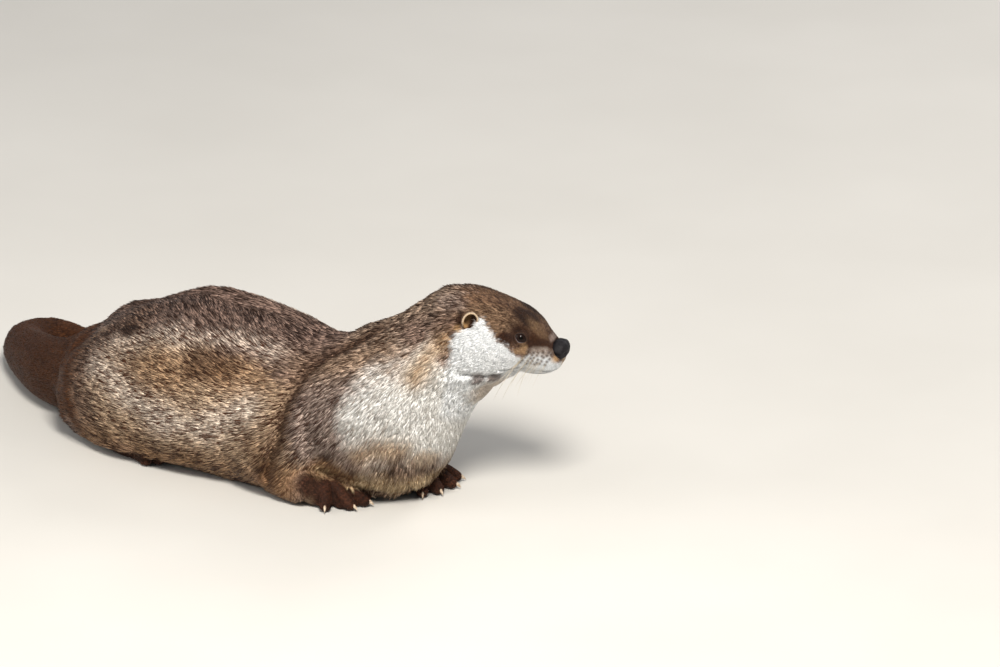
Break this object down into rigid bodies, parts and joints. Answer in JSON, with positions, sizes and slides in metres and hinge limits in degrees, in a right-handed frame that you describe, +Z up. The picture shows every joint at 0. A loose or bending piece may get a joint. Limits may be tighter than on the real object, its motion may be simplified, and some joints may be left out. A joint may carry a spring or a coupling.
{
  "type": "river otter",
  "caption": "Life-size river otter lying on its belly, head raised and turned a little left, forepaws in front, tail curled round behind.",
  "frame": {"origin": "on the floor, under the middle of the otter's bounding box", "axes": "+X forward along the trunk towards the head, +Y to the otter's left, +Z up from the floor"},
  "size_m": [0.6762, 0.2472, 0.2105],
  "materials": {
    "body_fur": "dense grizzled guard hair, brown with silver tips",
    "breast_fur": "dense fur, cream and tan over grey brown",
    "tail_fur": "short dark brown fur",
    "foot_fur": "very short dark brown fur over webbed skin",
    "face_fur": "short velvety fur, brown above, white on the cheek and lip",
    "chin_fur": "short white fur",
    "ear_fur": "short tan fur over thin skin",
    "nose": "bare black pebbled skin, slightly moist",
    "eye": "wet, polished dark brown",
    "claw": "pale horn, satin"
  },
  "bodies": {
    "root": {"tail_tip": "tail_fur", "tail_curl": "tail_fur", "tail_bend": "tail_fur", "tail_middle": "tail_fur", "tail_thick": "tail_fur", "tail_root": "tail_fur", "rump": "body_fur", "loin": "body_fur", "trunk": "body_fur", "chest": "breast_fur", "neck": "breast_fur", "head": "face_fur", "thigh_right": "body_fur", "foreleg_right": "body_fur", "thigh_left": "body_fur", "foreleg_left": "body_fur", "nose": "nose", "jaw": "chin_fur", "eye_right": "eye", "ear_right": "ear_fur", "eye_left": "eye", "ear_left": "ear_fur", "forepaw_right": "foot_fur", "forepaw_left": "foot_fur", "hind_foot_right": "foot_fur", "hind_foot_left": "foot_fur", "claw_forepaw_right_1": "claw", "claw_forepaw_right_2": "claw", "claw_forepaw_right_3": "claw", "claw_forepaw_right_4": "claw", "claw_forepaw_right_5": "claw", "claw_forepaw_left_1": "claw", "claw_forepaw_left_2": "claw", "claw_forepaw_left_3": "claw", "claw_forepaw_left_4": "claw", "claw_forepaw_left_5": "claw", "claw_hind_foot_right_1": "claw", "claw_hind_foot_right_2": "claw", "claw_hind_foot_right_3": "claw", "claw_hind_foot_right_4": "claw", "claw_hind_foot_right_5": "claw", "claw_hind_foot_left_1": "claw", "claw_hind_foot_left_2": "claw", "claw_hind_foot_left_3": "claw", "claw_hind_foot_left_4": "claw", "claw_hind_foot_left_5": "claw"}
  },
  "joints": []
}
